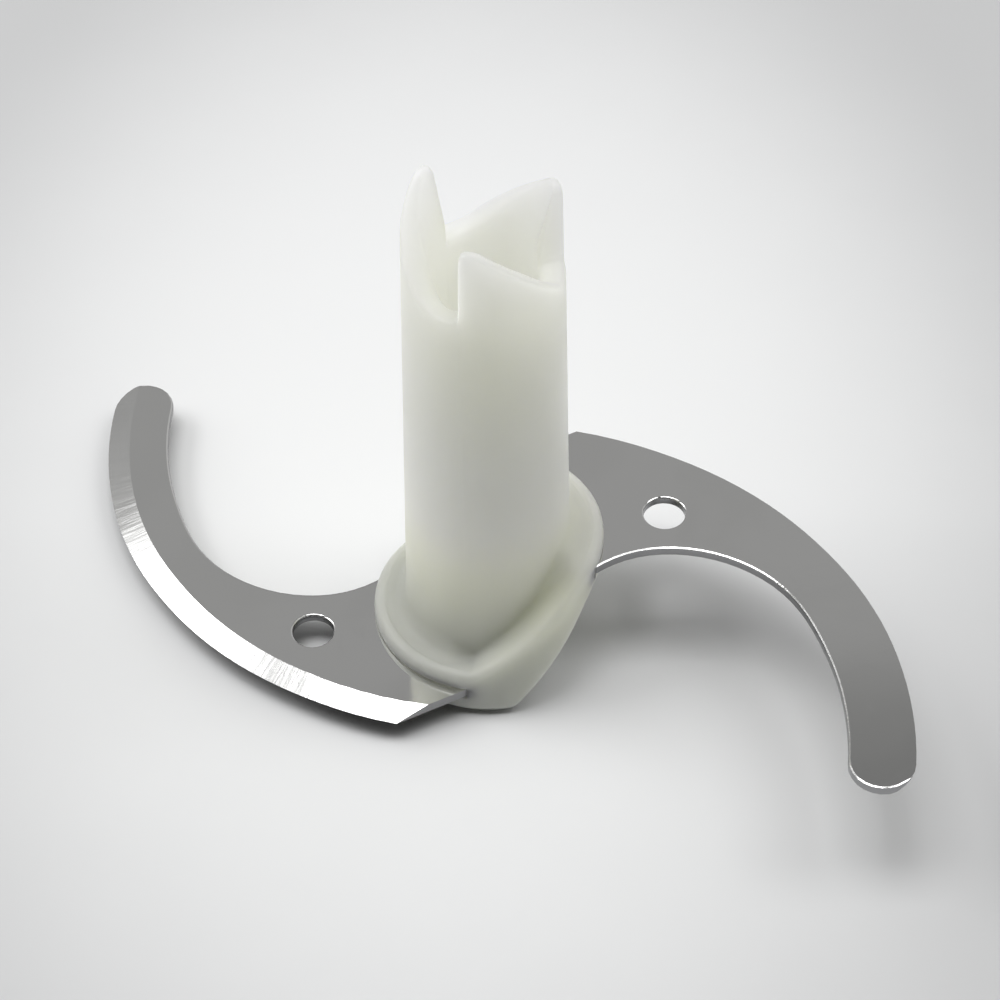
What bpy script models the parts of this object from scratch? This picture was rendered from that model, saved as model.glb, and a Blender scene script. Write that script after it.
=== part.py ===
# Food processor blade: a moulded hub with a three-claw drive crown and an oblique collar,
# and two sickle blades seated in that collar, one higher than the other.
# Metres, +Z up. The origin is on the bore's axis, on the surface that the hub's foot stands on.

import math

import bmesh
import bpy
from mathutils import Matrix, Vector

MM = 0.001
FULL_TURN = math.tau

# Bore and column
BORE_RADIUS = 7.4 * MM
BORE_CHAMFER = 0.8 * MM
FOOT_WALL = 3.4 * MM
COLUMN_FOOT_RADIUS = 12.1 * MM
COLUMN_TOP_RADIUS = 10.85 * MM
COLUMN_HEIGHT = 72.0 * MM

# Crown: claws that rise from the column's top, each with a steep driving face and a ramp behind it
CLAW_COUNT = 3
CLAW_HEIGHT = 12.6 * MM
FIRST_CLAW = math.radians(12.0)
CLAW_LEAN = math.radians(1.1)
CLAW_LAND = math.radians(12.0)
CLAW_GAP = math.radians(27.0)
CLAW_ROOT_ROUND = 1.6 * MM
CLAW_TIP_ROUND = 1.2 * MM
RAMP_TOP_ROUND = 6.0 * MM
RAMP_FOOT_ROUND = 12.0 * MM
CROWN_EDGE = 0.7 * MM
CROWN_EDGE_SHARE = 0.4
CROWN_INNER_EDGE = 1.8 * MM
CROWN_INNER_EDGE_SHARE = 0.5
LEAD_IN_DEPTH = 9.0 * MM
LEAD_IN_GROWTH = 2.3 * MM

# Collar: level over each blade's root, with a slope on either side between the two levels
COLLAR_RADIUS = 16.7 * MM
COLLAR_LIFT = 0.4 * MM
LOWER_COVER_BELOW = 3.3 * MM
UPPER_COVER_BELOW = 1.7 * MM
COVER_ABOVE = 2.6 * MM
LEVEL_STEP = 14.6 * MM
COLLAR_RIM_ROUND = 1.5 * MM
COLLAR_FOOT_ROUND = 1.5 * MM
LEVEL_FILLET = 3.0 * MM
SLOPE_FILLET = 0.9 * MM
FILLET_FADE_AT_HEAD = math.radians(26)
FILLET_FADE_AT_FOOT = math.radians(16)
SLOPE_FOOT_ROUND = 2.5 * MM
SLOPE_SHOULDER_ROUND = 8.0 * MM
TOP_CLIMB = (math.radians(260), math.radians(329))
TOP_FALL = (math.radians(84), math.radians(136))
UNDER_CLIMB = (math.radians(283), math.radians(331))
UNDER_FALL = (math.radians(86), math.radians(142))

# Blades: a sickle swept along a spine of two arcs, from the root in the collar to the tip
BLADE_THICKNESS = 1.5 * MM
SEAT_GAP = 0.3 * MM
SEAT_WALL = 2.6 * MM
SPINE_START = Vector((-6.0 * MM, -5.9 * MM))
SPINE_HEADING = math.radians(197.2)
ROOT_BEND_RADIUS = 35.5 * MM
ROOT_BEND = math.radians(84.6)
TIP_BEND_RADIUS = 55.8 * MM
TIP_BEND = math.radians(29.1)
ROOT_WIDTH = 34.7 * MM
SHOULDER_WIDTH = 18.3 * MM
MIDDLE_WIDTH = 10.0 * MM
NECK_WIDTH = 9.3 * MM
TIP_WIDTH = 9.2 * MM
HEEL_AT = 8.35 * MM
HEEL_FACE_HEADING = math.radians(26.8)
HEEL_FACE_LENGTH = 13.3 * MM
CONCAVE_START = 6.4 * MM
GRIND_WIDTH = 3.3 * MM
EDGE_LAND = 0.1 * MM
RIM_ROUND = 0.3 * MM
HOLE_RADIUS = 3.0 * MM
HOLE_RIM_ROUND = 0.4 * MM
HOLE_DISTANCE = 26.0 * MM
HOLE_AZIMUTH = math.radians(190.0)

# Fineness of the faceted surfaces, and how far a cutter runs past what it cuts
ARC_STEPS = 4
WIDEST_STEP = math.radians(5.0)
CLOSEST_STEP = math.radians(0.9)
EDGE_POINTS = 34
TIP_POINTS = 12
BLUNT_TIP_POINTS = 9
HOLE_SIDES = 48
CUTTER_OVERRUN = 6.0 * MM
WELD_DISTANCE = 0.001 * MM

# Finishes
PLASTIC_COLOUR = (0.74, 0.77, 0.70)
PLASTIC_ROUGHNESS = 0.42
STEEL_COLOUR = (0.56, 0.56, 0.57)
STEEL_ROUGHNESS = 0.26
SHARP_ANGLE = math.radians(35.0)

# Heights and radii that follow from the sizes above
LOWER_UNDERSIDE = COLLAR_LIFT + LOWER_COVER_BELOW
UPPER_UNDERSIDE = LOWER_UNDERSIDE + LEVEL_STEP
COVER_TOP = BLADE_THICKNESS + COVER_ABOVE
CROWN_TOP = COLUMN_HEIGHT + CLAW_HEIGHT
LEAD_IN_START = CROWN_TOP - LEAD_IN_DEPTH
SEAT_RADIUS = BORE_RADIUS + SEAT_WALL
FOOT_RADIUS = BORE_RADIUS + FOOT_WALL
ROOT_BEND_LENGTH = ROOT_BEND_RADIUS * ROOT_BEND
SPINE_LENGTH = ROOT_BEND_LENGTH + TIP_BEND_RADIUS * TIP_BEND


def clear_scene():
    for thing in list(bpy.data.objects):
        bpy.data.objects.remove(thing, do_unlink=True)


def new_collection(name):
    collection = bpy.data.collections.new(name)
    bpy.context.scene.collection.children.link(collection)
    return collection


def new_object(name, bm, collection):
    bmesh.ops.recalc_face_normals(bm, faces=bm.faces)
    mesh = bpy.data.meshes.new(name)
    bm.to_mesh(mesh)
    bm.free()
    thing = bpy.data.objects.new(name, mesh)
    collection.objects.link(thing)
    return thing


def new_cutter(name, bm, collection):
    cutter = new_object(name, bm, collection)
    cutter.hide_render = True
    cutter.display_type = "WIRE"
    return cutter


def cut(thing, name, cutter):
    boolean = thing.modifiers.new(name, "BOOLEAN")
    boolean.operation = "DIFFERENCE"
    boolean.solver = "EXACT"
    boolean.object = cutter


def new_material(name, colour, metallic, roughness):
    material = bpy.data.materials.new(name)
    material.use_nodes = True
    shader = material.node_tree.nodes["Principled BSDF"]
    shader.inputs["Base Color"].default_value = (*colour, 1.0)
    shader.inputs["Metallic"].default_value = metallic
    shader.inputs["Roughness"].default_value = roughness
    return material


def finish(thing, material):
    thing.data.materials.append(material)
    thing.data.shade_smooth()
    thing.data.set_sharp_from_angle(angle=SHARP_ANGLE)


def direction(azimuth):
    return Vector((math.cos(azimuth), math.sin(azimuth)))


def loft(bm, sections, closed):
    """Skins a row of sections with equally many points, and caps its ends unless it closes on itself."""
    rings = [[bm.verts.new(point) for point in section] for section in sections]
    pairs = list(zip(rings, rings[1:]))
    if closed:
        pairs.append((rings[-1], rings[0]))
    for ring, following in pairs:
        for index in range(len(ring)):
            after = (index + 1) % len(ring)
            bm.faces.new((ring[index], ring[after], following[after], following[index]))
    if not closed:
        bm.faces.new(rings[0])
        bm.faces.new(rings[-1])


def rounded(points, rounds):
    """The open path through these points, with an arc of the given radius in place of each inner corner."""
    path = [points[0]]
    for before, corner, after, radius in zip(points, points[1:], points[2:], rounds):
        back = (before - corner).normalized()
        ahead = (after - corner).normalized()
        half = back.angle(ahead) / 2
        reach = min(radius / math.tan(half), (before - corner).length / 2, (after - corner).length / 2)
        centre = corner + (back + ahead).normalized() * reach / math.cos(half)
        start = corner + back * reach - centre
        sweep = start.angle_signed(corner + ahead * reach - centre)
        for step in range(ARC_STEPS + 1):
            path.append(centre + Matrix.Rotation(-sweep * step / ARC_STEPS, 2) @ start)
    path.append(points[-1])
    return path


def unrolled(corners, rounds, radius):
    """Rounds a path given as (azimuth, height) corners at this radius, and gives it in azimuths again."""
    flat = [Vector((azimuth * radius, height)) for azimuth, height in corners]
    return [(point.x / radius, point.y) for point in rounded(flat, rounds)]


def height_at(path, azimuth):
    """The height of a path round the axis, read at any azimuth."""
    azimuth = path[0][0] + (azimuth - path[0][0]) % FULL_TURN
    for (near, low), (far, high) in zip(path, path[1:]):
        if azimuth <= far:
            return low + (high - low) * (azimuth - near) / (far - near)
    return path[-1][1]


def crown_path():
    """The crown's edge once round: steep face, land, ramp and gap, claw after claw."""
    pitch = FULL_TURN / CLAW_COUNT
    claw = (
        (CLAW_LEAN, CROWN_TOP, CLAW_TIP_ROUND),
        (CLAW_LEAN + CLAW_LAND, CROWN_TOP, RAMP_TOP_ROUND),
        (pitch - CLAW_GAP, COLUMN_HEIGHT, RAMP_FOOT_ROUND),
        (pitch, COLUMN_HEIGHT, CLAW_ROOT_ROUND),
    )
    start = FIRST_CLAW - CLAW_GAP / 2
    corners = [(start, COLUMN_HEIGHT), (FIRST_CLAW, COLUMN_HEIGHT)]
    rounds = [CLAW_ROOT_ROUND]
    for index in range(CLAW_COUNT):
        for turn, height, radius in claw:
            corners.append((FIRST_CLAW + index * pitch + turn, height))
            rounds.append(radius)
    corners[-1] = (start + FULL_TURN, COLUMN_HEIGHT)
    return unrolled(corners, rounds[:-1], (BORE_RADIUS + COLUMN_TOP_RADIUS) / 2)


def collar_path(low, high, climb, fall):
    """One face of the collar once round: high sector, fall, low sector, climb, and high again."""
    middle_of_high = (climb[1] - FULL_TURN + fall[0]) / 2
    corners = (
        (middle_of_high, high),
        (fall[0], high),
        (fall[1], low),
        (climb[0], low),
        (climb[1], high),
        (middle_of_high + FULL_TURN, high),
    )
    rounds = (SLOPE_SHOULDER_ROUND, SLOPE_FOOT_ROUND, SLOPE_FOOT_ROUND, SLOPE_SHOULDER_ROUND)
    return unrolled(corners, rounds, COLLAR_RADIUS)


def fillet_path():
    """The fillet's radius between column and collar once round: soft on the levels, tight along a slope."""
    middle_of_high = (TOP_CLIMB[1] - FULL_TURN + TOP_FALL[0]) / 2
    return (
        (middle_of_high, LEVEL_FILLET),
        (TOP_FALL[0], LEVEL_FILLET),
        (TOP_FALL[0] + FILLET_FADE_AT_HEAD, SLOPE_FILLET),
        (TOP_FALL[1], SLOPE_FILLET),
        (TOP_FALL[1] + FILLET_FADE_AT_FOOT, LEVEL_FILLET),
        (TOP_CLIMB[0] - FILLET_FADE_AT_FOOT, LEVEL_FILLET),
        (TOP_CLIMB[0], SLOPE_FILLET),
        (TOP_CLIMB[1] - FILLET_FADE_AT_HEAD, SLOPE_FILLET),
        (TOP_CLIMB[1], LEVEL_FILLET),
        (middle_of_high + FULL_TURN, LEVEL_FILLET),
    )


def stations(crown, collar_paths):
    """The azimuths of the hub's sections: every corner of the paths, and enough between them."""
    start = crown[0][0]
    picked = [azimuth for azimuth, height in crown[:-1]]
    for path in collar_paths:
        for azimuth, height in path[:-1]:
            azimuth = start + (azimuth - start) % FULL_TURN
            if all(abs(azimuth - other) > CLOSEST_STEP for other in picked + [start + FULL_TURN]):
                picked.append(azimuth)
    picked.sort()
    filled = []
    for near, far in zip(picked, picked[1:] + [start + FULL_TURN]):
        parts = math.ceil((far - near) / WIDEST_STEP)
        filled += [near + (far - near) * part / parts for part in range(parts)]
    return filled


def column_radius(height):
    return COLUMN_FOOT_RADIUS + (COLUMN_TOP_RADIUS - COLUMN_FOOT_RADIUS) * height / CROWN_TOP


def bore_radius(height):
    return BORE_RADIUS + LEAD_IN_GROWTH * max(0.0, height - LEAD_IN_START) / LEAD_IN_DEPTH


def quarter(centre, radius, first):
    """A quarter circle round a centre in the (radius, height) plane, clockwise from the angle first."""
    angles = [first - math.pi / 2 * step / ARC_STEPS for step in range(ARC_STEPS + 1)]
    return [(centre[0] + radius * math.cos(a), centre[1] + radius * math.sin(a)) for a in angles]


def hub_section(crest, collar_top, collar_under, fillet_radius):
    """The hub's cut face at these heights: (radius, height) pairs up the bore and down outside."""
    wall = column_radius(crest) - bore_radius(crest)
    edge = min(CROWN_EDGE, wall * CROWN_EDGE_SHARE)
    inner_edge = min(CROWN_INNER_EDGE, wall * CROWN_INNER_EDGE_SHARE)
    fillet = (column_radius(collar_top + fillet_radius) + fillet_radius, collar_top + fillet_radius)
    rim = (COLLAR_RADIUS - COLLAR_RIM_ROUND, collar_top - COLLAR_RIM_ROUND)
    skirt = (COLLAR_RADIUS - COLLAR_FOOT_ROUND, collar_under + COLLAR_FOOT_ROUND)
    section = [(BORE_RADIUS + BORE_CHAMFER, 0.0), (BORE_RADIUS, BORE_CHAMFER)]
    section.append((BORE_RADIUS, min(LEAD_IN_START, crest - 2 * inner_edge)))
    inner_centre = (bore_radius(crest - inner_edge) + inner_edge, crest - inner_edge)
    section += quarter(inner_centre, inner_edge, math.pi)
    section += quarter((column_radius(crest) - edge, crest - edge), edge, math.pi / 2)
    section += reversed(quarter(fillet, fillet_radius, -math.pi / 2))
    section += quarter(rim, COLLAR_RIM_ROUND, math.pi / 2)
    section += quarter(skirt, COLLAR_FOOT_ROUND, 0.0)
    section += [(FOOT_RADIUS, collar_under), (FOOT_RADIUS, 0.0)]
    return section


def make_hub(collection):
    crown = crown_path()
    top = collar_path(LOWER_UNDERSIDE + COVER_TOP, UPPER_UNDERSIDE + COVER_TOP, TOP_CLIMB, TOP_FALL)
    under = collar_path(COLLAR_LIFT, UPPER_UNDERSIDE - UPPER_COVER_BELOW, UNDER_CLIMB, UNDER_FALL)
    fillet = fillet_path()
    sections = []
    for azimuth in stations(crown, (top, under, fillet)):
        outline = hub_section(*(height_at(path, azimuth) for path in (crown, top, under, fillet)))
        ray = direction(azimuth)
        sections.append([(ray.x * radius, ray.y * radius, height) for radius, height in outline])
    bm = bmesh.new()
    loft(bm, sections, closed=True)
    return new_object("hub", bm, collection)


def follow(spot, heading, length, radius):
    """Goes this length from a spot along a clockwise arc, and returns the spot and heading at its end."""
    centre = spot + radius * Vector((math.sin(heading), -math.cos(heading)))
    turned = heading - length / radius
    return centre - radius * Vector((math.sin(turned), -math.cos(turned))), turned


def spine_at(along):
    """The spot and heading on the blade's spine at this length from its root."""
    first = min(along, ROOT_BEND_LENGTH)
    spot, heading = follow(SPINE_START, SPINE_HEADING, first, ROOT_BEND_RADIUS)
    return follow(spot, heading, along - first, TIP_BEND_RADIUS)


def half_width(along):
    """Half the blade's width at this length, on a smooth curve through the five named widths."""
    widths = (ROOT_WIDTH, SHOULDER_WIDTH, MIDDLE_WIDTH, NECK_WIDTH, TIP_WIDTH)
    spans = len(widths) - 1
    position = along / SPINE_LENGTH * spans
    index = min(int(position), spans - 1)
    t = position - index
    slopes = []
    for knot in (index, index + 1):
        before, after = max(knot - 1, 0), min(knot + 1, spans)
        slopes.append((widths[after] - widths[before]) / (after - before))
    width = (2 * t**3 - 3 * t**2 + 1) * widths[index] + (t**3 - 2 * t**2 + t) * slopes[0]
    width += (3 * t**2 - 2 * t**3) * widths[index + 1] + (t**3 - t**2) * slopes[1]
    return width / 2


def across(heading):
    """The level direction from the spine towards the convex cutting edge."""
    return Vector((-math.sin(heading), math.cos(heading)))


def edge_at(along, side):
    """A point of the blade's edge: side is 1 on the convex cutting edge and -1 on the concave one."""
    spot, heading = spine_at(along)
    return spot + across(heading) * side * half_width(along)


def blade_outline():
    """The blank's outline from its heel: cutting edge, round tip, concave edge and seat round the bore."""
    spots = [part / (EDGE_POINTS - 1) for part in range(EDGE_POINTS)]
    points = [edge_at(HEEL_AT + (SPINE_LENGTH - HEEL_AT) * spot, 1) for spot in spots]
    tip, heading = spine_at(SPINE_LENGTH)
    for step in range(1, TIP_POINTS):
        turn = Matrix.Rotation(-math.pi * step / TIP_POINTS, 2)
        points.append(tip + turn @ across(heading) * half_width(SPINE_LENGTH))
    blunt_from = len(points) - BLUNT_TIP_POINTS
    points += [edge_at(SPINE_LENGTH + (CONCAVE_START - SPINE_LENGTH) * spot, -1) for spot in spots]
    blunt_to = len(points) - 1
    heel_end = points[0] + direction(HEEL_FACE_HEADING) * HEEL_FACE_LENGTH
    start = math.atan2(points[-1].y, points[-1].x) % FULL_TURN
    end = math.atan2(heel_end.y, heel_end.x) % FULL_TURN
    parts = math.ceil((end - start) / WIDEST_STEP)
    for part in range(parts + 1):
        points.append(SEAT_RADIUS * direction(start + (end - start) * part / parts))
    points.append(heel_end)
    return points, blunt_from, blunt_to


def grown(points, distance):
    """The outline moved outwards by this distance, each corner kept as a corner."""
    moved = []
    for before, point, after in zip(points[-1:] + points, points, points[1:] + points[:1]):
        ahead = (after - point).normalized()
        bisector = ((point - before).normalized() + ahead).normalized()
        side = Vector((-bisector.y, bisector.x))
        moved.append(point + side * distance / side.dot(Vector((-ahead.y, ahead.x))))
    return moved


def plate(points, low, high):
    """A plate of this outline between two heights, filled from a flat curve, one face on each side."""
    curve = bpy.data.curves.new("outline", "CURVE")
    curve.dimensions = "2D"
    curve.fill_mode = "BOTH"
    curve.extrude = (high - low) / 2
    spline = curve.splines.new("POLY")
    spline.points.add(len(points) - 1)
    for spot, point in zip(spline.points, points):
        spot.co = (point.x, point.y, 0.0, 1.0)
    spline.use_cyclic_u = True
    drawn = bpy.data.objects.new("outline", curve)
    bpy.context.scene.collection.objects.link(drawn)
    graph = bpy.context.evaluated_depsgraph_get()
    filled = bpy.data.meshes.new_from_object(drawn.evaluated_get(graph))
    bm = bmesh.new()
    bm.from_mesh(filled)
    bpy.data.meshes.remove(filled)
    bpy.data.objects.remove(drawn)
    bpy.data.curves.remove(curve)
    bmesh.ops.remove_doubles(bm, verts=bm.verts, dist=WELD_DISTANCE)
    for up in (1, -1):
        level = [face for face in bm.faces if face.normal.z * up > math.cos(SHARP_ANGLE)]
        bmesh.ops.dissolve_faces(bm, faces=level)
    bmesh.ops.translate(bm, vec=(0.0, 0.0, (high + low) / 2), verts=bm.verts)
    return bm


def soften_rim(blade, points, blunt_from, blunt_to):
    """Rounds the two rims of the blunt edge, and leaves the cutting edge and the seat as cut."""
    weights = blade.data.attributes.new("bevel_weight_edge", "FLOAT", "EDGE")
    verts = blade.data.vertices
    soft = set()
    for vert in verts:
        distances = [(vert.co.xy - point).length for point in points]
        nearest = distances.index(min(distances))
        if blunt_from <= nearest <= blunt_to:
            soft.add(vert.index)
    for edge in blade.data.edges:
        near, far = edge.vertices
        level = abs(verts[near].co.z - verts[far].co.z) < EDGE_LAND
        weights.data[edge.index].value = float(level and near in soft and far in soft)
    bevel = blade.modifiers.new("rim_round", "BEVEL")
    bevel.limit_method = "WEIGHT"
    bevel.width = RIM_ROUND
    bevel.segments = 2


def grind_cutter(name, ground_face, cutters):
    """The wedge ground off the cutting edge. ground_face is 1 for the top and -1 for the underside."""
    slope = (BLADE_THICKNESS - EDGE_LAND) / GRIND_WIDTH
    wedge = (
        (CUTTER_OVERRUN, EDGE_LAND - slope * CUTTER_OVERRUN),
        (-2 * GRIND_WIDTH, EDGE_LAND + slope * 2 * GRIND_WIDTH),
        (CUTTER_OVERRUN, EDGE_LAND + slope * 2 * GRIND_WIDTH),
    )
    rows = []
    for part in range(EDGE_POINTS):
        along = SPINE_LENGTH * part / (EDGE_POINTS - 1)
        heading = spine_at(along)[1]
        rows.append((edge_at(along, 1), across(heading)))
    rows.append((rows[-1][0] + direction(heading) * CUTTER_OVERRUN, rows[-1][1]))
    middle = BLADE_THICKNESS / 2
    sections = []
    for edge, outward in rows:
        spots = [(edge + outward * out, middle + ground_face * (height - middle)) for out, height in wedge]
        sections.append([(spot.x, spot.y, height) for spot, height in spots])
    bm = bmesh.new()
    loft(bm, sections, closed=False)
    return new_cutter(name, bm, cutters)


def hole_cutter(name, cutters):
    """The hole with its rolled-in rims: it widens along a quarter circle towards each face of the blade."""
    flare = quarter((HOLE_RADIUS + HOLE_RIM_ROUND, HOLE_RIM_ROUND), HOLE_RIM_ROUND, -math.pi / 2)[1:]
    lower = [(flare[0][0], -CUTTER_OVERRUN)] + flare
    upper = [(radius, BLADE_THICKNESS - height) for radius, height in reversed(lower)]
    centre = HOLE_DISTANCE * direction(HOLE_AZIMUTH)
    sections = []
    for radius, height in lower + upper:
        ring = [centre + radius * direction(FULL_TURN * side / HOLE_SIDES) for side in range(HOLE_SIDES)]
        sections.append([(spot.x, spot.y, height) for spot in ring])
    bm = bmesh.new()
    loft(bm, sections, closed=False)
    return new_cutter(name, bm, cutters)


def set_in_place(thing, underside, turn):
    thing.location.z = underside
    thing.rotation_euler.z = turn


def make_blade(name, underside, turn, ground_face, collection, cutters):
    points, blunt_from, blunt_to = blade_outline()
    blade = new_object(name, plate(points, 0.0, BLADE_THICKNESS), collection)
    soften_rim(blade, points, blunt_from, blunt_to)
    hole = hole_cutter(name + "_hole_cutter", cutters)
    grind = grind_cutter(name + "_grind_cutter", ground_face, cutters)
    for thing in (blade, hole, grind):
        set_in_place(thing, underside, turn)
    cut(blade, "hole", hole)
    cut(blade, "grind", grind)
    return blade


def cut_seat(hub, name, underside, turn, cutters):
    """The pocket in the hub that a blade's root fills, with the seat gap all round."""
    points = grown(blade_outline()[0], SEAT_GAP)
    pocket = new_cutter(name + "_cutter", plate(points, -SEAT_GAP, BLADE_THICKNESS + SEAT_GAP), cutters)
    set_in_place(pocket, underside, turn)
    cut(hub, name, pocket)


def main():
    clear_scene()
    parts = new_collection("food_processor_blade")
    cutters = new_collection("cutters")
    plastic = new_material("hub_plastic", PLASTIC_COLOUR, 0.0, PLASTIC_ROUGHNESS)
    steel = new_material("blade_steel", STEEL_COLOUR, 1.0, STEEL_ROUGHNESS)
    hub = make_hub(parts)
    finish(hub, plastic)
    for name, underside, turn, ground_face in (
        ("lower_blade", LOWER_UNDERSIDE, 0.0, 1),
        ("upper_blade", UPPER_UNDERSIDE, math.pi, -1),
    ):
        blade = make_blade(name, underside, turn, ground_face, parts, cutters)
        finish(blade, steel)
        cut_seat(hub, name + "_seat", underside, turn, cutters)


main()
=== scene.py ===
import math

import bpy
from mathutils import Matrix, Vector

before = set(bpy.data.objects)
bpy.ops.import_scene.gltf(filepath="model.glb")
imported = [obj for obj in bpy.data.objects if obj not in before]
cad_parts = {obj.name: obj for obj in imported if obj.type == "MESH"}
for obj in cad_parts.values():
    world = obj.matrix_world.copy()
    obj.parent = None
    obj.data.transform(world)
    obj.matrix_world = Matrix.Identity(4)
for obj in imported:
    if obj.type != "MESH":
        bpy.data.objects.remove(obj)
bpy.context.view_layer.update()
print("frame loaded:", ", ".join(sorted(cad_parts)))

scene = bpy.context.scene
scene.view_settings.view_transform = "Standard"


# small helpers for node trees

def newTree(owner):
    owner.use_nodes = True
    tree = owner.node_tree
    tree.nodes.clear()
    return tree


def addNode(tree, kind, inputs=None, **settings):
    node = tree.nodes.new(kind)
    for name, value in settings.items():
        setattr(node, name, value)
    for name, value in (inputs or {}).items():
        if isinstance(value, bpy.types.NodeSocket):
            tree.links.new(value, node.inputs[name])
        else:
            node.inputs[name].default_value = value
    return node


def doMath(tree, operation, *values, clamp=False):
    inputs = dict(enumerate(values))
    return addNode(tree, "ShaderNodeMath", inputs, operation=operation, use_clamp=clamp).outputs[0]


def doVector(tree, operation, *values):
    node = addNode(tree, "ShaderNodeVectorMath", dict(enumerate(values)), operation=operation)
    return node.outputs["Value" if operation in ("DOT_PRODUCT", "LENGTH") else "Vector"]


def between(tree, value, low, high):
    over = doMath(tree, "GREATER_THAN", value, low)
    return doMath(tree, "MULTIPLY", over, doMath(tree, "LESS_THAN", value, high))


def joinXyz(tree, x, y, z=0.0):
    return addNode(tree, "ShaderNodeCombineXYZ", {0: x, 1: y, 2: z}).outputs[0]


def splitXyz(tree, vector):
    return addNode(tree, "ShaderNodeSeparateXYZ", {0: vector}).outputs


def noise(tree, vector, scale, detail=2.0, distortion=0.0):
    inputs = {"Vector": vector, "Scale": scale, "Detail": detail, "Distortion": distortion}
    return addNode(tree, "ShaderNodeTexNoise", inputs).outputs["Fac"]


def mapRange(tree, value, low, high, toLow=0.0, toHigh=1.0):
    inputs = {"Value": value, "From Min": low, "From Max": high, "To Min": toLow, "To Max": toHigh}
    return addNode(tree, "ShaderNodeMapRange", inputs, interpolation_type="SMOOTHSTEP").outputs["Result"]


def mixValues(tree, factor, first, second):
    inputs = {"Factor": factor, "A": first, "B": second}
    return addNode(tree, "ShaderNodeMix", inputs, data_type="FLOAT").outputs[0]


def mixColours(tree, factor, first, second):
    inputs = {0: factor, 6: first, 7: second}  # the colour sockets share their names with others
    return addNode(tree, "ShaderNodeMix", inputs, data_type="RGBA").outputs[2]


def newGroup(name, inputs, outputs):
    group = bpy.data.node_groups.new(name, "ShaderNodeTree")
    for label, kind, value in inputs:
        socket = group.interface.new_socket(name=label, in_out="INPUT", socket_type=kind)
        if value is not None:
            socket.default_value = value
    for label, kind in outputs:
        group.interface.new_socket(name=label, in_out="OUTPUT", socket_type=kind)
    return group, group.nodes.new("NodeGroupInput"), group.nodes.new("NodeGroupOutput")


def placeGroup(tree, group, inputs):
    return addNode(tree, "ShaderNodeGroup", inputs, node_tree=group).outputs


# camera, solved from the photograph's outlines

cameraSet = {
    "elevation": math.radians(46.76),
    "roll": 0.0121,
    "distance": 0.514,
    "across": -0.00186,
    "above": -0.0154,
    "targetHeight": 0.0052,
    "lens": 126.14,
    "sensor": 36.0,
    "nearest": 0.01,
}

tilt = cameraSet["elevation"]
levelRight = Vector((1, 0, 0))
levelUp = Vector((0, math.sin(tilt), math.cos(tilt)))
forward = Vector((0, math.cos(tilt), -math.sin(tilt)))
spot = -cameraSet["across"] * levelRight - cameraSet["above"] * levelUp
spot -= cameraSet["distance"] * forward
spot.z += cameraSet["targetHeight"]
roll = cameraSet["roll"]
viewRight = math.cos(roll) * levelRight - math.sin(roll) * levelUp
viewUp = math.sin(roll) * levelRight + math.cos(roll) * levelUp
cameraData = bpy.data.cameras.new("tableCamera")
cameraData.lens = cameraSet["lens"]
cameraData.sensor_width = cameraSet["sensor"]
cameraData.clip_start = cameraSet["nearest"]
camera = bpy.data.objects.new("tableCamera", cameraData)
scene.collection.objects.link(camera)
turn = Matrix((viewRight, viewUp, -forward)).transposed().to_4x4()
camera.matrix_world = Matrix.Translation(spot) @ turn
scene.camera = camera
print("camera set")


# world and lamps: a softbox overhead, one to each side, and a pale room that is dark in front

worldSet = {
    # brightness by the sine of the height above the horizon
    "bands": ((0.0, 0.18), (0.30, 0.50), (0.62, 0.46), (0.765, 0.46), (0.778, 0.28), (1.0, 0.20)),
    "bandLean": 0.12,
    "blueShare": 0.99,
    "frontGlow": 0.4,  # share of that left in front, and only near the horizon
    "frontHeights": (0.30, 0.05),
    "frontEdge": (-0.28, -0.08),
    "mirrorGlow": 0.55,  # share of it that steel mirrors in front, so that it isn't black from behind
    "rightGlow": 0.5,
    "rightEdge": (0.16, 0.40),
    "leftGlow": 1.6,
    "leftEdge": (-0.62, -0.80),
}

world = bpy.data.worlds.new("paleRoom")
scene.world = world
tree = newTree(world)
towards = splitXyz(tree, addNode(tree, "ShaderNodeTexCoord").outputs["Generated"])
lean = doMath(tree, "MULTIPLY", towards["X"], worldSet["bandLean"])
bands = addNode(tree, "ShaderNodeValToRGB", {"Fac": doMath(tree, "ADD", towards["Z"], lean)})
while len(bands.color_ramp.elements) < len(worldSet["bands"]):
    bands.color_ramp.elements.new(0.5)
for stop, (height, level) in zip(bands.color_ramp.elements, worldSet["bands"]):
    stop.position = height
    stop.color = (level, level, level * worldSet["blueShare"], 1)
low = mapRange(tree, towards["Z"], *worldSet["frontHeights"], 0.0, worldSet["frontGlow"])
front = mapRange(tree, towards["Y"], *worldSet["frontEdge"], low, 1.0)
path = addNode(tree, "ShaderNodeLightPath").outputs
direct = doMath(tree, "SUBTRACT", 1.0, path["Diffuse Depth"], clamp=True)
mirrored = doMath(tree, "MULTIPLY", path["Is Glossy Ray"], direct)
mirrored = doMath(tree, "MULTIPLY", mirrored, worldSet["mirrorGlow"])
front = doMath(tree, "MAXIMUM", front, mirrored)
rightGlow = mapRange(tree, towards["X"], *worldSet["rightEdge"], 0.0, worldSet["rightGlow"])
leftGlow = mapRange(tree, towards["X"], *worldSet["leftEdge"], 0.0, worldSet["leftGlow"])
sideGlow = doMath(tree, "MULTIPLY", doMath(tree, "ADD", rightGlow, leftGlow), front)
strength = doMath(tree, "ADD", front, sideGlow)
sky = addNode(tree, "ShaderNodeBackground", {"Color": bands.outputs["Color"], "Strength": strength})
addNode(tree, "ShaderNodeOutputWorld", {"Surface": sky.outputs[0]})

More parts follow.
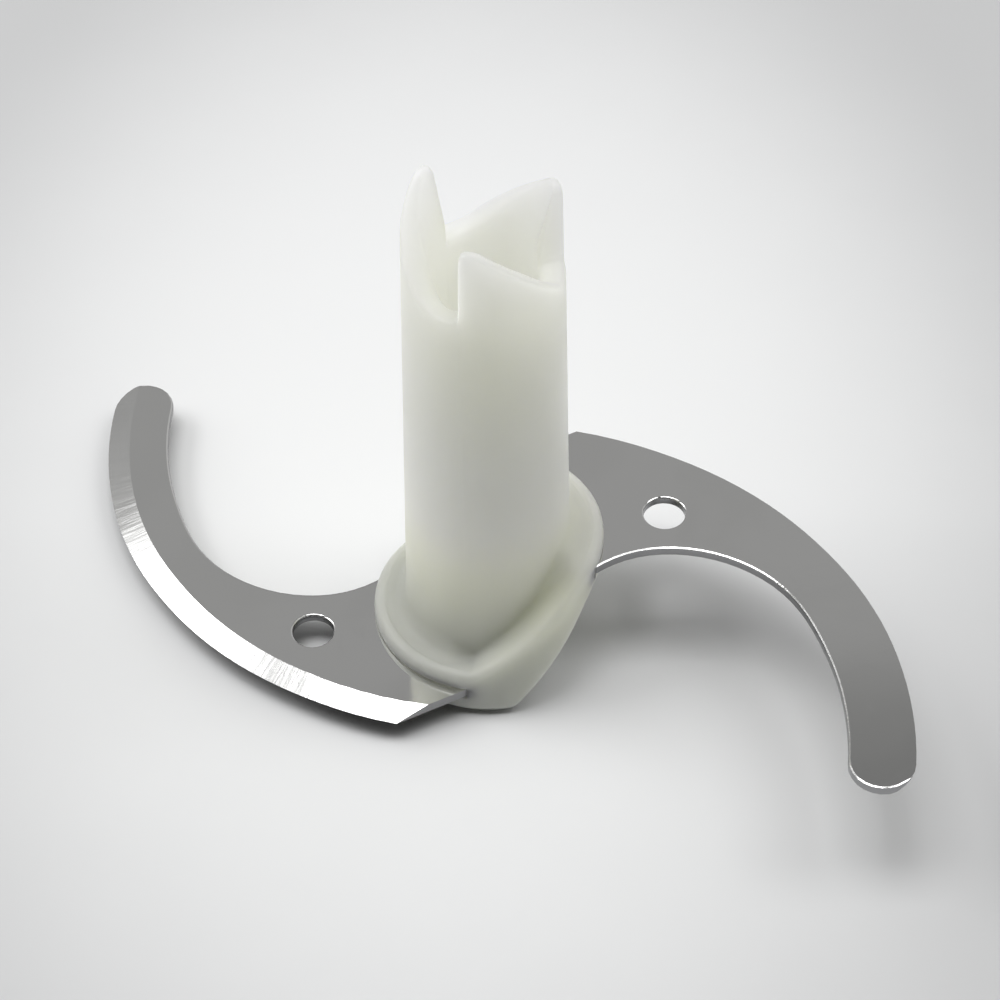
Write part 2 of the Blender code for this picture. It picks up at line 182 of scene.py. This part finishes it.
lampSet = {
    # level rectangles over the table: the middle, the width and depth, and how bright the face is
    "overhead": {"place": (-0.12, 0.01, 0.86), "size": (0.52, 0.36), "radiance": 5.65},
    "left": {"place": (-0.76, 0.19, 0.86), "size": (0.46, 0.66), "radiance": 4.1},
    "leftFade": {"place": (-0.76, 0.64, 0.86), "size": (0.46, 0.24), "radiance": 0.95},
    "right": {"place": (0.525, 0.03, 0.86), "size": (0.56, 0.35), "radiance": 3.3},
}


def addPanel(name, place, size, radiance):
    lamp = bpy.data.lights.new(name, "AREA")
    lamp.shape = "RECTANGLE"
    lamp.size, lamp.size_y = size
    lamp.energy = radiance * math.pi * size[0] * size[1]
    panel = bpy.data.objects.new(name, lamp)
    scene.collection.objects.link(panel)
    panel.location = place


for name, values in lampSet.items():
    addPanel(name, **values)
print("world and lamps set")


# floor: a plain pale sheet

floorSet = {
    "size": 6.0,
    "colour": (0.86, 0.865, 0.87, 1),
    # painted shade: the darker colour the sheet takes far from the middle, seen from the camera
    "edgeShadeColour": (0.58, 0.583, 0.588, 1),
    "edgeReach": (0.105, 0.165),  # half width and half depth of the ring where it is reached
    "middle": (-0.003, 0.036),
    "mottleScale": 60.0,
    "mottleDetail": 4.0,
    "mottleShare": 0.05,
    "underColour": (0.03, 0.03, 0.03, 1),
    "roughness": 0.75,
}

half = floorSet["size"] / 2
corners = [(-half, -half, 0), (half, -half, 0), (half, half, 0), (-half, half, 0)]
floorMesh = bpy.data.meshes.new("floor")
floorMesh.from_pydata(corners, [], [(0, 1, 2, 3)])
floor = bpy.data.objects.new("floor", floorMesh)
scene.collection.objects.link(floor)
floorMaterial = bpy.data.materials.new("paleSheet")
tree = newTree(floorMaterial)
place = addNode(tree, "ShaderNodeTexCoord").outputs["Object"]
apart = doVector(tree, "SUBTRACT", place, floorSet["middle"] + (0,))
apart = doVector(tree, "DIVIDE", apart, floorSet["edgeReach"] + (1,))
mottle = noise(tree, place, floorSet["mottleScale"], floorSet["mottleDetail"])
mottle = doMath(tree, "MULTIPLY", mottle, floorSet["mottleShare"])
reach = doMath(tree, "ADD", doVector(tree, "DOT_PRODUCT", apart, apart), mottle)
path = addNode(tree, "ShaderNodeLightPath").outputs
# painted shade: seen from the camera, the sheet darkens away from the middle
paintedFalloff = doMath(tree, "MULTIPLY", mapRange(tree, reach, 0.0, 1.0), path["Is Camera Ray"])
colour = mixColours(tree, paintedFalloff, floorSet["colour"], floorSet["edgeShadeColour"])
# the sheet seen in the undersides of the blades is darker, so that they don't light their own shadows
bounced = doMath(tree, "MINIMUM", path["Diffuse Depth"], 1.0)
underside = doMath(tree, "MULTIPLY", path["Is Glossy Ray"], bounced)
colour = mixColours(tree, underside, colour, floorSet["underColour"])
finish = {"Base Color": colour, "Roughness": floorSet["roughness"]}
shader = addNode(tree, "ShaderNodeBsdfPrincipled", finish)
addNode(tree, "ShaderNodeOutputMaterial", {"Surface": shader.outputs[0]})
floorMesh.materials.append(floorMaterial)
print("floor laid")


# effects that the materials share

grainSet = {"patchDetail": 3.0, "patchWander": 0.6, "patchReach": (0.35, 0.65)}


def makeFineGrain():
    # tiny even grain, with larger soft patches where hands and cloths have been
    group, given, result = newGroup(
        "fineGrain",
        (
            ("Place", "NodeSocketVector", None),
            ("Grain Scale", "NodeSocketFloat", 2500.0),
            ("Patch Scale", "NodeSocketFloat", 70.0),
        ),
        (("Grain", "NodeSocketFloat"), ("Patches", "NodeSocketFloat")),
    )
    place = given.outputs["Place"]
    grain = noise(group, place, given.outputs["Grain Scale"])
    patches = noise(
        group, place, given.outputs["Patch Scale"], grainSet["patchDetail"], grainSet["patchWander"]
    )
    group.links.new(grain, result.inputs["Grain"])
    group.links.new(mapRange(group, patches, *grainSet["patchReach"]), result.inputs["Patches"])
    return group


hairlineSet = {
    "layers": ((0.35, 0.0), (1.25, 3.7), (2.35, 9.1)),  # the turn of each, and how far it is moved
    "stretch": (1.0, 14.0, 1.0),
    "wander": 0.15,
    "gapScale": 140.0,
    "gapReach": (0.52, 0.60),
}


def makeHairlines():
    # sparse thin scratches, each layer lying its own way
    group, given, result = newGroup(
        "hairlines",
        (
            ("Place", "NodeSocketVector", None),
            ("Reach", "NodeSocketFloat", 90.0),
            ("Share", "NodeSocketFloat", 0.012),
        ),
        (("Scratches", "NodeSocketFloat"),),
    )
    layers = []
    for angle, offset in hairlineSet["layers"]:
        inputs = {"Vector": given.outputs["Place"], "Angle": angle}
        turned = addNode(group, "ShaderNodeVectorRotate", inputs, rotation_type="Z_AXIS").outputs[0]
        moved = doVector(group, "ADD", turned, (offset, offset, 0.0))
        stretched = doVector(group, "MULTIPLY", moved, hairlineSet["stretch"])
        ridge = noise(group, stretched, given.outputs["Reach"], 1.0, hairlineSet["wander"])
        away = doMath(group, "ABSOLUTE", doMath(group, "SUBTRACT", ridge, 0.5))
        line = mapRange(group, away, 0.0, given.outputs["Share"], 1.0, 0.0)
        gaps = noise(group, moved, hairlineSet["gapScale"], 1.0)
        broken = mapRange(group, gaps, *hairlineSet["gapReach"])
        layers.append(doMath(group, "MULTIPLY", line, broken))
    total = doMath(group, "MAXIMUM", doMath(group, "MAXIMUM", layers[0], layers[1]), layers[2])
    group.links.new(total, result.inputs["Scratches"])
    return group


fineGrain = makeFineGrain()
hairlines = makeHairlines()


def placeEffects(tree, place, values):
    inputs = {"Place": place, "Grain Scale": values["grainScale"], "Patch Scale": values["patchScale"]}
    skin = placeGroup(tree, fineGrain, inputs)
    marks = placeGroup(tree, hairlines, {"Place": place, "Reach": values["scratchReach"]})
    return skin["Grain"], skin["Patches"], marks["Scratches"]


print("shared effects made")


# hub plastic: translucent off-white, softly glossy

plasticSet = {
    "crownColour": (0.985, 0.995, 0.80, 1),
    # painted shade: the plastic darkens from the crown colour above to this colour at the foot
    "footShadeColour": (0.515, 0.525, 0.475, 1),
    "crownHeight": 0.034,
    "footHeight": 0.004,
    "cloudColour": (0.55, 0.56, 0.50, 1),
    "cloudTone": 0.02,
    "roughness": 0.44,
    "roughnessSpread": 0.06,
    "scratchRoughness": 0.12,
    "subsurface": 1.0,
    "radius": (1.0, 1.0, 0.9),
    # light goes deep in the thin walls above and less deep in the thick collar
    "crownScale": 0.036,
    "footScale": 0.008,
    "scaleHeights": (0.020, 0.078),
    "ior": 1.46,
    "grainScale": 1800.0,
    "patchScale": 90.0,
    "grainDepth": 0.000004,
    "scratchReach": 60.0,
}

hubPlastic = bpy.data.materials.new("hubPlastic")
tree = newTree(hubPlastic)
place = addNode(tree, "ShaderNodeTexCoord").outputs["Object"]
height = splitXyz(tree, place)["Z"]
# painted shade: the colour darkens from the crown down to the foot
shadeDown = mapRange(tree, height, plasticSet["crownHeight"], plasticSet["footHeight"])
colour = mixColours(tree, shadeDown, plasticSet["crownColour"], plasticSet["footShadeColour"])
scales = (plasticSet["footScale"], plasticSet["crownScale"])
scale = mapRange(tree, height, *plasticSet["scaleHeights"], *scales)
grain, patches, scratches = placeEffects(tree, place, plasticSet)
cloud = doMath(tree, "MULTIPLY", patches, plasticSet["cloudTone"])
colour = mixColours(tree, cloud, colour, plasticSet["cloudColour"])
middle, spread = plasticSet["roughness"], plasticSet["roughnessSpread"]
roughness = mapRange(tree, patches, 0.0, 1.0, middle - spread, middle + spread)
scratched = doMath(tree, "MULTIPLY", scratches, plasticSet["scratchRoughness"])
roughness = doMath(tree, "ADD", roughness, scratched)
relief = {"Height": grain, "Strength": 1.0, "Distance": plasticSet["grainDepth"]}
bump = addNode(tree, "ShaderNodeBump", relief).outputs["Normal"]
shader = addNode(
    tree,
    "ShaderNodeBsdfPrincipled",
    {
        "Base Color": colour,
        "Roughness": roughness,
        "IOR": plasticSet["ior"],
        "Subsurface Weight": plasticSet["subsurface"],
        "Subsurface Radius": plasticSet["radius"],
        "Subsurface Scale": scale,
        "Normal": bump,
    },
)
addNode(tree, "ShaderNodeOutputMaterial", {"Surface": shader.outputs[0]})
print("plastic mixed")


# blade steel: polished sheet with fine grain, and a ground face with lines across it

steelSet = {
    "colour": (0.60, 0.60, 0.595, 1),
    "smudgeColour": (0.40, 0.40, 0.385, 1),
    "smudgeTone": 0.06,
    # sheared walls of the outline and the hole, by how far their faces look up; their darker colour is
    # partly the sheared finish and partly painted shade
    "wallFinishAndShade": (0.28, 0.28, 0.285, 1),
    "wallRoughness": 0.34,
    "wallLean": (0.70, 0.35),
    # the rolled edge of the punched hole isn't ground, and rounds over towards the face
    "holePlace": (-0.0256, -0.0045, 0.0),
    "holeReach": 0.0038,
    "holeRounding": 0.26,
    "holeLean": (0.70, 0.86),
    "roughness": 0.07,
    "smudge": 0.03,
    "scratch": 0.03,
    "grainScale": 3000.0,
    "patchScale": 55.0,
    "grainDepth": 0.0000006,
    "waveScale": 110.0,
    "waveDepth": 0.000012,
    "scratchReach": 45.0,
}

# the ground face runs on two arcs, and its lines lie across them
grindSet = {
    "rootCentre": (-0.01650, 0.02801, 0.0),
    "jointWay": (-0.9231, -0.3842, 0.0),
    "rootRadius": 0.0355,
    "tipRadius": 0.0558,
    "lean": (0.86, 0.985),  # it is known by how far it looks up
    "lineScale": 3600.0,
    "lineDepth": 0.000031,
    "lineDetail": 3.0,
    "lineDrift": 0.06,
    "lineShare": 0.5,
    "bandScale": 0.3,  # of the line scale
    "bandDetail": 1.0,
    "bandDrift": 0.10,
    "bandPlace": 5.0,
    "roughness": 0.18,
    "slant": 0.18,
}


def makeGroundFace():
    group, given, result = newGroup(
        "groundFace",
        (
            ("Place", "NodeSocketVector", None),
            ("Facing", "NodeSocketVector", None),
            ("Root Centre", "NodeSocketVector", None),
            ("Joint Way", "NodeSocketVector", None),
            ("Across Way", "NodeSocketVector", None),
            ("Line Scale", "NodeSocketFloat", 2000.0),
        ),
        (("Mask", "NodeSocketFloat"), ("Lines", "NodeSocketFloat")),
    )
    rootRadius, tipRadius = grindSet["rootRadius"], grindSet["tipRadius"]
    offset = doVector(group, "SUBTRACT", given.outputs["Place"], given.outputs["Root Centre"])
    out = doVector(group, "DOT_PRODUCT", offset, given.outputs["Joint Way"])
    aside = doVector(group, "DOT_PRODUCT", offset, given.outputs["Across Way"])
    outFar = doMath(group, "ADD", out, tipRadius - rootRadius)
    nearRun = doMath(group, "MULTIPLY", doMath(group, "ARCTAN2", aside, out), rootRadius)
    farRun = doMath(group, "MULTIPLY", doMath(group, "ARCTAN2", aside, outFar), tipRadius)
    # root side where aside is over nought, tip side where it is under
    rootSide = doMath(group, "GREATER_THAN", aside, 0.0)
    tipSide = doMath(group, "SUBTRACT", 1.0, rootSide)
    nearRun = doMath(group, "MULTIPLY", nearRun, rootSide)
    farRun = doMath(group, "MULTIPLY", farRun, tipSide)
    nearReach = doVector(group, "LENGTH", joinXyz(group, out, aside))
    slanted = doMath(group, "MULTIPLY", nearReach, grindSet["slant"])
    run = doMath(group, "ADD", doMath(group, "ADD", nearRun, farRun), slanted)
    # fine lines, with wider bands under them
    lineScale = given.outputs["Line Scale"]
    lineDrift = doMath(group, "MULTIPLY", nearReach, grindSet["lineDrift"])
    fine = noise(group, joinXyz(group, run, lineDrift), lineScale, grindSet["lineDetail"])
    bandScale = doMath(group, "MULTIPLY", lineScale, grindSet["bandScale"])
    bandDrift = doMath(group, "MULTIPLY", nearReach, grindSet["bandDrift"])
    bandPlace = joinXyz(group, run, bandDrift, grindSet["bandPlace"])
    wide = noise(group, bandPlace, bandScale, grindSet["bandDetail"])
    lines = doMath(group, "ADD", doMath(group, "MULTIPLY", fine, grindSet["lineShare"]), wide)
    upright = doMath(group, "ABSOLUTE", splitXyz(group, given.outputs["Facing"])["Z"])
    group.links.new(between(group, upright, *grindSet["lean"]), result.inputs["Mask"])
    group.links.new(lines, result.inputs["Lines"])
    return group


groundFace = makeGroundFace()


def makeSteel(name, side):
    # side is 1 for the lower blade, and -1 for the upper one, half a turn on
    material = bpy.data.materials.new(name)
    tree = newTree(material)
    place = addNode(tree, "ShaderNodeTexCoord").outputs["Object"]
    facing = addNode(tree, "ShaderNodeNewGeometry").outputs["True Normal"]
    upright = doMath(tree, "ABSOLUTE", splitXyz(tree, facing)["Z"])
    grain, patches, scratches = placeEffects(tree, place, steelSet)
    wayX, wayY, wayZ = (side * value for value in grindSet["jointWay"])
    ground = placeGroup(
        tree,
        groundFace,
        {
            "Place": place,
            "Facing": facing,
            "Root Centre": tuple(side * value for value in grindSet["rootCentre"]),
            "Joint Way": (wayX, wayY, wayZ),
            "Across Way": (-wayY, wayX, wayZ),
            "Line Scale": grindSet["lineScale"],
        },
    )
    fromHole = doVector(tree, "SUBTRACT", place, tuple(side * value for value in steelSet["holePlace"]))
    fromHole = doVector(tree, "LENGTH", doVector(tree, "MULTIPLY", fromHole, (1.0, 1.0, 0.0)))
    outsideHole = doMath(tree, "GREATER_THAN", fromHole, steelSet["holeReach"])
    mask = doMath(tree, "MULTIPLY", ground["Mask"], outsideHole)
    dullest = steelSet["roughness"] + steelSet["smudge"]
    smudged = mapRange(tree, patches, 0.0, 1.0, steelSet["roughness"], dullest)
    polished = doMath(tree, "ADD", smudged, doMath(tree, "MULTIPLY", scratches, steelSet["scratch"]))
    roughness = mixValues(tree, mask, polished, grindSet["roughness"])
    # sheared walls are duller than the faces; their darker colour is partly the sheared finish and
    # partly painted shade
    wall = mapRange(tree, upright, *steelSet["wallLean"])
    roughness = mixValues(tree, wall, roughness, steelSet["wallRoughness"])
    wave = noise(tree, place, steelSet["waveScale"], 0.0)
    wave = doMath(tree, "MULTIPLY", wave, steelSet["waveDepth"])
    leaf = doMath(tree, "ADD", wave, doMath(tree, "MULTIPLY", grain, steelSet["grainDepth"]))
    lines = doMath(tree, "MULTIPLY", ground["Lines"], grindSet["lineDepth"])
    height = mixValues(tree, mask, leaf, lines)
    rolled = between(tree, upright, *steelSet["holeLean"])
    insideHole = doMath(tree, "LESS_THAN", fromHole, steelSet["holeReach"])
    rolled = doMath(tree, "MULTIPLY", rolled, insideHole)
    rounding = doMath(tree, "MULTIPLY", rolled, fromHole)
    rounding = doMath(tree, "MULTIPLY", rounding, steelSet["holeRounding"])
    height = doMath(tree, "SUBTRACT", height, rounding)
    relief = {"Height": height, "Strength": 1.0, "Distance": 1.0}
    bump = addNode(tree, "ShaderNodeBump", relief).outputs["Normal"]
    tone = mapRange(tree, patches, 0.0, 1.0, 0.0, steelSet["smudgeTone"])
    colour = mixColours(tree, tone, steelSet["colour"], steelSet["smudgeColour"])
    # partly painted shade: the walls take the darker wall colour
    colour = mixColours(tree, wall, colour, steelSet["wallFinishAndShade"])
    finish = {"Base Color": colour, "Metallic": 1.0, "Roughness": roughness, "Normal": bump}
    shader = addNode(tree, "ShaderNodeBsdfPrincipled", finish)
    addNode(tree, "ShaderNodeOutputMaterial", {"Surface": shader.outputs[0]})
    return material


lowerSteel = makeSteel("lowerSteel", 1)
upperSteel = makeSteel("upperSteel", -1)
print("steel made")


# shading of the frame's own nodes: their split points are joined, and only real edges stay sharp

shadeSet = {"join": 0.000002, "sharpAngle": math.radians(35), "level": 0.9995, "onFace": 0.4}


def makeShadeTree():
    tree = bpy.data.node_groups.new("cleanShading", "GeometryNodeTree")
    for way in ("INPUT", "OUTPUT"):
        tree.interface.new_socket(name="Geometry", in_out=way, socket_type="NodeSocketGeometry")
    shape = addNode(tree, "NodeGroupInput").outputs[0]
    inputs = {"Geometry": shape, "Distance": shadeSet["join"]}
    shape = addNode(tree, "GeometryNodeMergeByDistance", inputs).outputs[0]
    inputs = {"Geometry": shape, "Name": "custom_normal"}
    shape = addNode(tree, "GeometryNodeRemoveAttribute", inputs).outputs[0]
    for domain in ("FACE", "EDGE"):
        inputs = {"Geometry": shape, "Shade Smooth": True}
        shape = addNode(tree, "GeometryNodeSetShadeSmooth", inputs, domain=domain).outputs[0]
    angle = addNode(tree, "GeometryNodeInputMeshEdgeAngle").outputs["Unsigned Angle"]
    wide = doMath(tree, "GREATER_THAN", angle, shadeSet["sharpAngle"])
    facing = addNode(tree, "GeometryNodeInputNormal").outputs[0]
    upright = doMath(tree, "ABSOLUTE", splitXyz(tree, facing)["Z"])
    level = doMath(tree, "GREATER_THAN", upright, shadeSet["level"])
    ground = between(tree, upright, *grindSet["lean"])
    kinds = []
    for value in (level, ground):
        onFace = addNode(
            tree, "GeometryNodeFieldOnDomain", {0: value}, domain="FACE", data_type="FLOAT"
        ).outputs[0]
        kinds.append(doMath(tree, "GREATER_THAN", onFace, shadeSet["onFace"]))
    # an edge between a level face and a ground one takes half of each
    ridge = doMath(tree, "MULTIPLY", kinds[0], kinds[1])
    sharp = doMath(tree, "GREATER_THAN", doMath(tree, "ADD", wide, ridge), 0.5)
    inputs = {"Geometry": shape, "Selection": sharp, "Shade Smooth": False}
    shape = addNode(tree, "GeometryNodeSetShadeSmooth", inputs, domain="EDGE").outputs[0]
    addNode(tree, "NodeGroupOutput", {0: shape})
    return tree


shadeTree = makeShadeTree()


def dress(node, material, weighted):
    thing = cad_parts[node]
    thing.data.materials.clear()
    thing.data.materials.append(material)
    thing.modifiers.new("cleanShading", "NODES").node_group = shadeTree
    if weighted:
        thing.modifiers.new("flatFaces", "WEIGHTED_NORMAL").keep_sharp = True


dress("hub", hubPlastic, False)
dress("lower_blade", lowerSteel, True)
dress("upper_blade", upperSteel, True)
print("nodes dressed")
